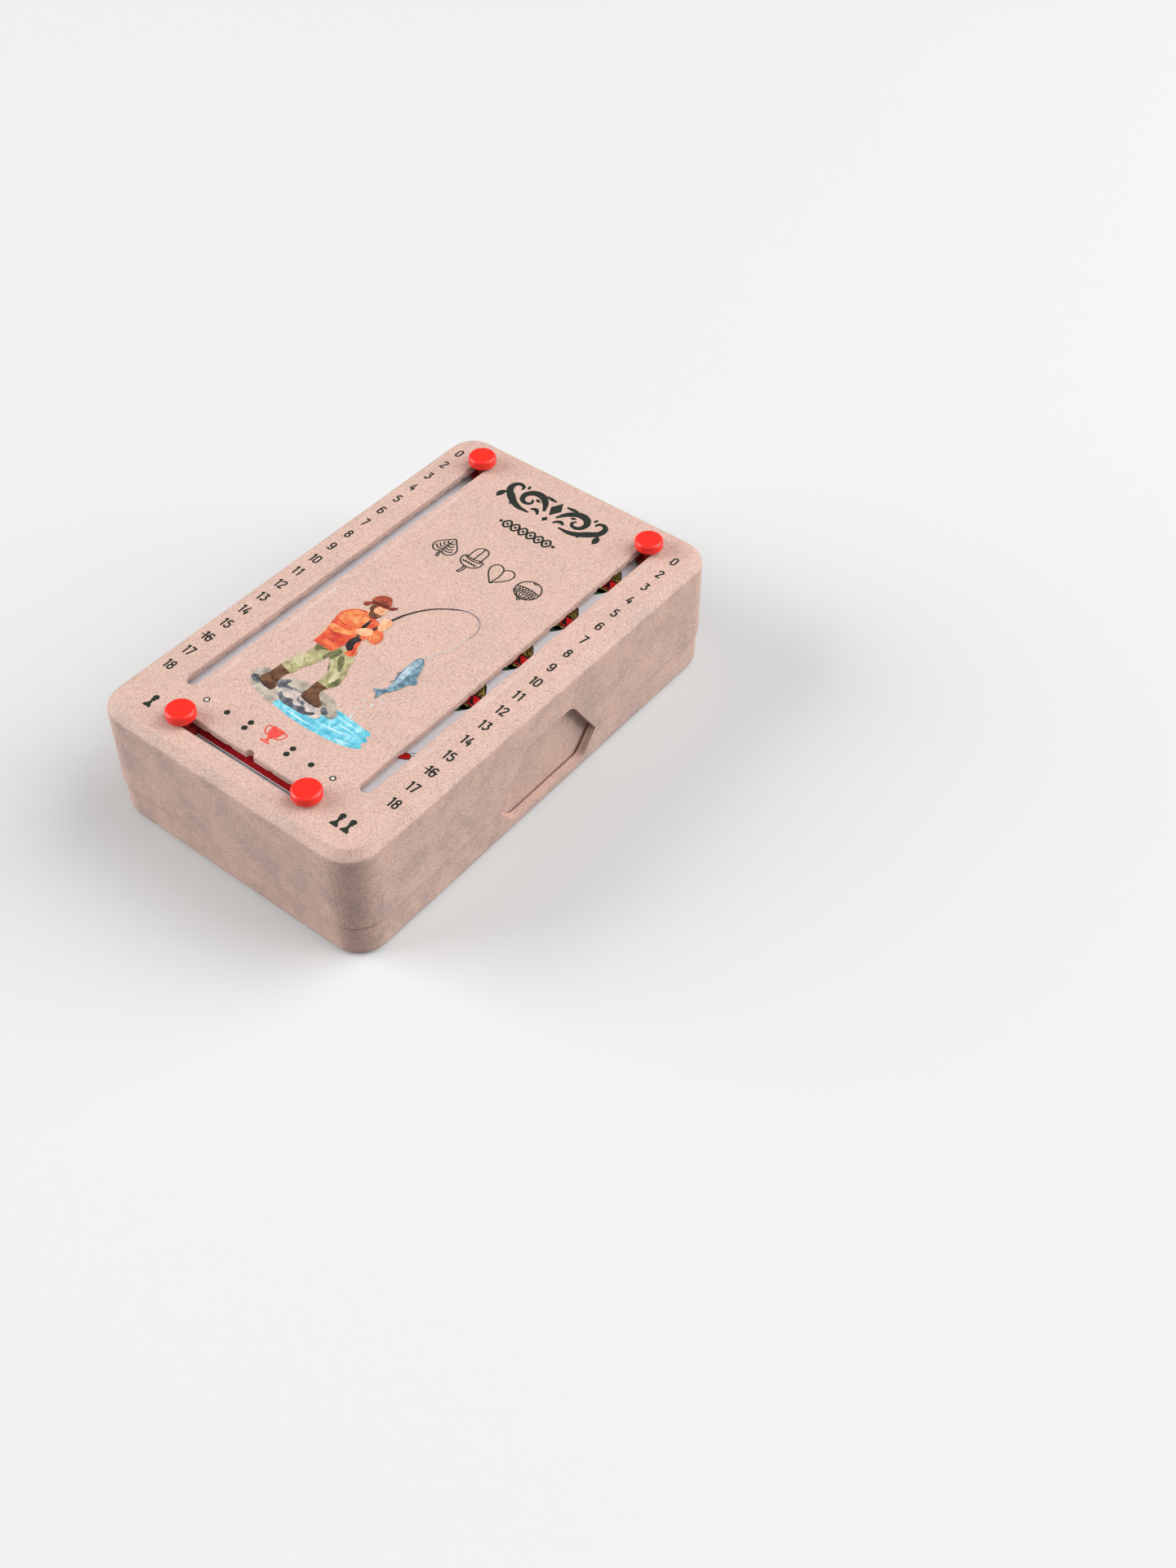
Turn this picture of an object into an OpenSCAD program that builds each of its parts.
// Score box for a card game: a deep lid over a shallow tray, with two decks of cards inside.
// Four red knobs slide in slots in the lid and keep the score.
// Origin: middle of the flat underside. +X is right and +Y is up for someone reading the numbers.

/* [Cards] */
// Width of a card
card_w = 57; // [50:0.5:75]
// Length of a card
card_l = 100; // [98:0.5:125]
// Thickness of a card
card_t = 0.35; // [0.28:0.01:0.45]
// Corner radius of a card
card_corner_r = 4; // [2:0.5:6]
// Cards in one deck
deck_count = 33; // [20:1:44]
// How far a card may lie off the middle of its deck
card_stray = 0.25; // [0:0.05:0.4]

/* [Collar] */
// Gap between the cards and the collar around them
card_gap = 1.1; // [0.8:0.1:2]
// Wall of the collar
collar_wall = 1.5; // [1:0.1:2]
// Height of the collar above the tray's floor
collar_h = 20.7; // [18:0.1:22]

/* [Tray] */
// Height of the tray, up to the seam under the lid
tray_h = 7.8; // [7:0.1:10]
// Thickness of the tray's floor
floor_t = 1.8; // [1.4:0.1:2.2]
// Wall of the tray
tray_wall = 1.5; // [1.2:0.1:1.5]
// How far the tray's wall stands back from the lid's
tray_inset = 0.4; // [0.3:0.1:1]
// Radius around the tray's bottom edge
tray_foot_r = 1.5; // [1:0.1:2.2]
// Gap between the tray's wall and the collar is bridged by ribs of this width
rib_w = 1.4; // [1:0.1:3]

/* [Lid] */
// Gap between the collar and the lid's skirt
lid_gap = 0.4; // [0.2:0.05:0.6]
// Wall of the lid's skirt
lid_wall = 2; // [1.6:0.1:2.6]
// Thickness of the lid's top plate
plate_t = 1.6; // [1.4:0.1:2.4]
// Radius of the lid's upright corners
corner_r = 7; // [5.5:0.5:9]
// Bevel around the lid's top edge
bevel = 1.8; // [1.2:0.1:2.2]
// Softening of the two edges of that bevel
bevel_soft_r = 0.9; // [0.3:0.1:1.2]
// How much narrower the skirt is at the top than at the rim, on each side
skirt_draft = 0.25; // [0:0.05:0.4]
// Radius around the lid's lower rim
rim_r = 0.9; // [0.4:0.1:1.2]

/* [Finger windows] */
// Width of a finger window at the seam
window_w = 30; // [24:1:40]
// Width of its top edge, in the lid
window_top_w = 14.6; // [10:0.2:20]
// Height of its part in the lid
window_rise = 12; // [8:0.1:12.4]
// Width of its bottom edge, in the tray
window_floor_w = 22; // [16:0.5:24]
// Height of its part in the tray
window_drop = 5.2; // [4:0.1:5.2]
// Radius of its corners
window_r = 3; // [1:0.2:3.4]
// Thickness and height of the thin lip at the back of its ledge
lip = 0.4; // [0.2:0.1:0.6]

/* [Score slots] */
// Width of every slot
slot_w = 2.8; // [2.4:0.1:3.6]
// Bevel along a slot's upper edges
slot_edge = 0.25; // [0.1:0.05:0.4]
// Middle of a score slot, in from the lid's side
slot_from_side = 11.2; // [10:0.1:13]
// Row of the number 0, in from the lid's far end
zero_from_end = 8.7; // [8:0.1:12]
// Distance between two rows of numbers
row_pitch = 5; // [3.5:0.1:5.1]
// Steps from the first row to the last
row_steps = 17; // [10:1:17]

/* [Game slot] */
// Middle of the game slot, in from the lid's near end
game_from_end = 7.5; // [6.5:0.05:8]
// Rest place of a game knob, out from the middle
game_rest = 16.1; // [14:0.1:18]
// Distance between two game marks
game_step = 5.4; // [4:0.1:5.5]
// Steps between a game knob's rest place and its last mark
game_steps = 2; // [1:1:2]
// Radius of the half-round notch at mid-slot
notch_r = 1; // [0.6:0.1:1.3]

/* [Knobs] */
// Diameter of a knob's head
head_d = 5.9; // [5:0.1:6.2]
// Height of the head
head_h = 2.1; // [1.6:0.1:3]
// Gap between the head and the lid
head_gap = 0.7; // [0.3:0.1:1]
// Radius around the head's top edge
head_top_r = 0.7; // [0.3:0.1:1]
// Radius around the head's lower edge
head_low_r = 0.45; // [0.2:0.05:0.6]
// Gap on each side of the neck in its slot
neck_gap = 0.15; // [0.1:0.05:0.3]
// Gap left between the neck and the end of its slot
end_gap = 0.15; // [0.1:0.05:0.5]

/* [Knob feet] */
// Diameter of the foot that keeps a knob in its slot
foot_d = 5.2; // [4.4:0.1:5.8]
// Thickness of the foot
foot_t = 1; // [0.8:0.05:1.4]
// Gap between the foot and the lid's plate
foot_gap = 0.35; // [0.3:0.05:0.6]
// Gap between the foot and the cards
foot_card_gap = 0.6; // [0.4:0.1:1.5]
// Height of the click rib on the foot
click_h = 0.25; // [0.1:0.05:0.28]
// Radius of a click groove under the plate
groove_r = 1.2; // [0.8:0.1:1.6]
// Depth of a click groove
groove_depth = 0.35; // [0.2:0.05:0.4]
// Diameter of the pin that holds the foot
pin_d = 1.4; // [1:0.1:1.6]
// Gap around the pin in the foot
pin_gap = 0.05; // [0.02:0.01:0.1]
// Diameter of the pin's flattened end
rivet_d = 2.2; // [2:0.1:3]
// Thickness of the pin's flattened end
rivet_t = 0.3; // [0.2:0.05:0.4]

/* [Hidden] */
$fn = 64;
CUT = 1;                       // how far a cutter runs past what it cuts
RIM_SINK = 0.1;                // how far a revolved profile's flat runs under its axis

// Half sizes, from the cards outwards
collar_in = [card_w / 2 + card_gap, card_l / 2 + card_gap];
collar_out = [collar_in[0] + collar_wall, collar_in[1] + collar_wall];
skirt_in = [collar_out[0] + lid_gap, collar_out[1] + lid_gap];
lid_out = [skirt_in[0] + lid_wall, skirt_in[1] + lid_wall];
tray_out = [lid_out[0] - tray_inset, lid_out[1] - tray_inset];
tray_in = [tray_out[0] - tray_wall, tray_out[1] - tray_wall];

// Corner radii: walls keep their thickness round the corners
skirt_r = corner_r - lid_wall;
collar_r = skirt_r - lid_gap;
collar_in_r = collar_r - collar_wall;
tray_r = corner_r - tray_inset;
tray_in_r = tray_r - tray_wall;

// Heights, from the underside upwards
deck_h = deck_count * card_t;
cards_top = floor_t + 2 * deck_h;
foot_z = cards_top + foot_card_gap;
plate_z = foot_z + foot_t + foot_gap;
box_h = plate_z + plate_t;

// Knobs and slots
neck_r = slot_w / 2 - neck_gap;
slot_x = lid_out[0] - slot_from_side;
zero_y = lid_out[1] - zero_from_end;
score_travel = row_steps * row_pitch;
game_y = game_from_end - lid_out[1];
slot_reach = neck_r + end_gap - slot_w / 2;     // from a knob's last place to the slot's round end

function card_name(i) = str("card_", i < 10 ? "0" : "", i);

BOARD = [0.87, 0.75, 0.69];
BOARD_INNER = [0.83, 0.71, 0.65];
RED = [0.93, 0.16, 0.12];
DARK_RED = [0.75, 0.10, 0.09];
PAPER = [0.93, 0.92, 0.94];
PAPER_GREY = [0.84, 0.83, 0.86];

// ---- Outlines ----

// Unit vector from corner i of an outline towards corner j
function towards(c, i, j) =
    let (v = [c[j][0] - c[i][0], c[j][1] - c[i][1]]) v / norm(v);
// Directions to the corners before and after corner i
function before(c, i) = towards(c, i, (i + len(c) - 1) % len(c));
function after(c, i) = towards(c, i, (i + 1) % len(c));
// Half of the angle at corner i
function half_angle(c, i) = acos(before(c, i) * after(c, i)) / 2;
// The points where corner i's round meets its two edges
function round_ends(c, i) =
    let (p = [c[i][0], c[i][1]], run = c[i][2] / tan(half_angle(c, i)))
    c[i][2] == 0 ? [p] : [p + run * before(c, i), p + run * after(c, i)];
// The centre of corner i's round
function round_centre(c, i) =
    let (mid = before(c, i) + after(c, i))
    [c[i][0], c[i][1]] + mid / norm(mid) * c[i][2] / sin(half_angle(c, i));

// A convex outline with true rounds at its corners: c = [[x, y, radius], ...]
module soft_outline(c) {
    polygon([for (i = [0:len(c) - 1]) each round_ends(c, i)]);
    for (i = [0:len(c) - 1])
        if (c[i][2] > 0) translate(round_centre(c, i)) circle(r = c[i][2]);
}

// A rectangle of the given half sizes with round corners
module round_rect(half, r) {
    x = half[0];
    y = half[1];
    soft_outline([[-x, -y, r], [x, -y, r], [x, y, r], [-x, y, r]]);
}

// A prism over a rounded rectangle, from z0 to z1
module round_prism(half, r, z0, z1) {
    translate([0, 0, z0]) linear_extrude(z1 - z0) round_rect(half, r);
}

// A solid whose side profile runs round a rounded rectangle.
// The profile's x is measured outwards from the corner's axis and its y is the height.
module profiled_block(half, r, z0, z1) {
    x = half[0] - r;
    y = half[1] - r;
    translate([-x, -y, z0]) cube([2 * x, 2 * y, z1 - z0]);
    for (k = [0:3]) {
        quarter = k * 90;
        across = k % 2 == 0 ? x : y;
        along = k % 2 == 0 ? y : x;
        rotate([0, 0, quarter]) {
            translate([across, along, 0]) rotate_extrude(angle = 90) children();
            translate([across, along, 0]) rotate([90, 0, 0]) linear_extrude(2 * along) children();
        }
    }
}

// Keeps the part of a profile that lies outside the corner's axis
module outward(r, z0, z1) {
    intersection() {
        children();
        translate([0, z0]) square([r, z1 - z0]);
    }
}

// ---- Slots ----

// A slot along Y between the two end axes y0 and y1, with bevelled upper edges
module slot_cut(y0, y1) {
    r = slot_w / 2;
    top_r = r + slot_edge + CUT;
    for (y = [y0, y1]) translate([0, y, 0]) {
        translate([0, 0, plate_z - CUT]) cylinder(r = r, h = plate_t + 2 * CUT);
        translate([0, 0, box_h - slot_edge]) cylinder(r1 = r, r2 = top_r, h = slot_edge + CUT);
    }
    translate([-r, y0, plate_z - CUT]) cube([slot_w, y1 - y0, plate_t + 2 * CUT]);
    translate([0, y1, box_h - slot_edge]) rotate([90, 0, 0]) linear_extrude(y1 - y0)
        polygon([[-r, 0], [r, 0], [top_r, slot_edge + CUT], [-top_r, slot_edge + CUT]]);
}

// A click groove across the underside of the plate, along X
module click_groove() {
    reach = foot_d / 2 + foot_gap;
    translate([-reach, 0, plate_z + groove_depth - groove_r])
        rotate([0, 90, 0]) cylinder(r = groove_r, h = 2 * reach);
}

// One score slot with a click groove at every row
module score_slot() {
    slot_cut(zero_y - score_travel - slot_reach, zero_y + slot_reach);
    for (k = [0:row_steps]) translate([0, zero_y - k * row_pitch, 0]) click_groove();
}

// The game slot, along X, with its click grooves and its half-round notch
module game_slot() {
    reach = game_rest + slot_reach;
    rotate([0, 0, -90]) {
        slot_cut(-reach, reach);
        for (s = [-1, 1], k = [0:game_steps])
            translate([0, s * (game_rest - k * game_step), 0]) click_groove();
    }
    translate([0, slot_w / 2, plate_z - CUT]) cylinder(r = notch_r, h = plate_t + 2 * CUT);
}

// ---- Finger windows ----

// The window's part above the seam, as an outline over the seam line
module upper_window() {
    half = window_w / 2;
    top = window_top_w / 2;
    soft_outline([[-half, 0, 0], [half, 0, 0], [top, window_rise, window_r],
                  [-top, window_rise, window_r]]);
}

// The window's part below the seam; inset makes it smaller all round
module lower_window(inset) {
    half = window_w / 2 - inset;
    low = window_floor_w / 2 - inset;
    soft_outline([[-low, inset - window_drop, window_r - inset],
                  [low, inset - window_drop, window_r - inset], [half, 0, 0], [-half, 0, 0]]);
}

// Cuts a seam outline through both long sides, between the half widths x0 and x1
module through_sides(x0, x1) {
    for (s = [0, 180]) rotate([0, 0, s]) translate([x0, 0, tray_h])
        rotate([90, 0, 90]) linear_extrude(x1 - x0) children();
}

// ---- The pieces ----

module tray() {
    color(BOARD) difference() {
        union() {
            difference() {
                profiled_block(tray_out, tray_r, 0, tray_h) outward(tray_r, 0, tray_h)
                    soft_outline([[-tray_r, 0, 0], [tray_r, 0, tray_foot_r],
                                  [tray_r, tray_h, 0], [-tray_r, tray_h, 0]]);
                round_prism(tray_in, tray_in_r, floor_t, tray_h + CUT);
            }
            collar_ribs();
        }
        through_sides(tray_in[0] + lip, tray_out[0] + CUT) lower_window(0);
        through_sides(tray_in[0] - CUT, tray_out[0] + CUT) lower_window(lip);
        // the windows stay open at the seam
        through_sides(tray_in[0] + lip, tray_out[0] + CUT)
            translate([-window_w / 2, 0]) square([window_w, CUT]);
    }
}

// Short upright ribs inside the tray's wall that hold the collar
module collar_ribs() {
    rib_h = tray_h - floor_t;
    for (s = [-1, 1], t = [-1, 1]) {
        rib_y = t * (window_w / 2 + 2 * rib_w);
        x_low = s > 0 ? collar_out[0] : -tray_in[0];
        translate([x_low, rib_y - rib_w / 2, floor_t])
            cube([tray_in[0] - collar_out[0], rib_w, rib_h]);
        rib_x = t * (collar_out[0] / 2);
        y_low = s > 0 ? collar_out[1] : -tray_in[1];
        translate([rib_x - rib_w / 2, y_low, floor_t])
            cube([rib_w, tray_in[1] - collar_out[1], rib_h]);
    }
}

module collar() {
    top = floor_t + collar_h;
    color(BOARD_INNER) difference() {
        round_prism(collar_out, collar_r, floor_t, top);
        round_prism(collar_in, collar_in_r, floor_t - CUT, top + CUT);
    }
}

module lid() {
    r = corner_r;
    color(BOARD) difference() {
        profiled_block(lid_out, r, tray_h, box_h) outward(r, tray_h, box_h)
            soft_outline([[-r, tray_h, 0], [r, tray_h, rim_r],
                          [r - skirt_draft, box_h - bevel, bevel_soft_r],
                          [r - skirt_draft - bevel, box_h, bevel_soft_r], [-r, box_h, 0]]);
        round_prism(skirt_in, skirt_r, tray_h - CUT, plate_z);
        for (s = [-1, 1]) translate([s * slot_x, 0, 0]) score_slot();
        translate([0, game_y, 0]) game_slot();
        through_sides(skirt_in[0] - CUT, lid_out[0] + CUT) upper_window();
        through_sides(skirt_in[0] - CUT, lid_out[0] + CUT)
            translate([-window_w / 2, -CUT]) square([window_w, CUT]);
    }
}

// Knob: head, neck through the slot, and pin with a flattened end
module knob() {
    head_r = head_d / 2;
    head_z = box_h + head_gap;
    foot_top = foot_z + foot_t;
    color(RED) {
        rotate_extrude() outward(head_r, head_z, head_z + head_h)
            soft_outline([[-head_r, head_z, 0], [head_r, head_z, head_low_r],
                          [head_r, head_z + head_h, head_top_r], [-head_r, head_z + head_h, 0]]);
        translate([0, 0, foot_top]) cylinder(r = neck_r, h = head_z - foot_top + RIM_SINK);
        translate([0, 0, foot_z]) cylinder(d = pin_d, h = foot_t + RIM_SINK);
        translate([0, 0, foot_z]) cylinder(d = rivet_d, h = rivet_t);
    }
}

// Foot: a disc under the plate with a click rib along X, held on the knob's pin
module foot() {
    seat = rivet_t + pin_gap;
    color(DARK_RED) difference() {
        union() {
            translate([0, 0, foot_z]) cylinder(d = foot_d, h = foot_t);
            intersection() {
                translate([-foot_d / 2, 0, foot_z + foot_t + click_h - groove_r])
                    rotate([0, 90, 0]) cylinder(r = groove_r, h = foot_d);
                translate([0, 0, foot_z]) cylinder(d = foot_d, h = foot_t + click_h + CUT);
            }
        }
        translate([0, 0, foot_z - CUT]) cylinder(d = pin_d + 2 * pin_gap, h = foot_t + 2 * CUT);
        translate([0, 0, foot_z - CUT]) cylinder(d = rivet_d + 2 * pin_gap, h = seat + CUT);
        // the neck stands on the foot through the click rib
        translate([0, 0, foot_z + foot_t]) cylinder(r = neck_r + pin_gap, h = foot_t);
    }
}

// Puts a score knob or foot at its row, s = -1 for the left slot
module at_score(s) {
    translate([s * slot_x, zero_y, 0]) children();
}

// Puts a game knob or foot at its rest place, its rib across the slot
module at_game(s) {
    translate([s * game_rest, game_y, 0]) rotate([0, 0, 90]) children();
}

// Card k of the pile, counted from the tray's floor, lying a little off true
module card(k) {
    translate([card_stray * sin(137 * k), card_stray * cos(97 * k), floor_t + (k - 1) * card_t])
        rotate([0, 0, card_stray * sin(61 * k)])
            linear_extrude(card_t) round_rect([card_w / 2, card_l / 2], card_corner_r);
}

module upper_card(i) {
    color(PAPER) card(deck_count + i);
}

module lower_deck() {
    color(PAPER_GREY) for (k = [1:deck_count]) card(k);
}

tray();
collar();
lid();
at_score(-1) knob();  // left_score_knob
at_score(-1) foot();  // left_score_foot
at_score(1) knob();  // right_score_knob
at_score(1) foot();  // right_score_foot
at_game(-1) knob();  // left_game_knob
at_game(-1) foot();  // left_game_foot
at_game(1) knob();  // right_game_knob
at_game(1) foot();  // right_game_foot
lower_deck();
for (i = [1:deck_count]) upper_card(i);
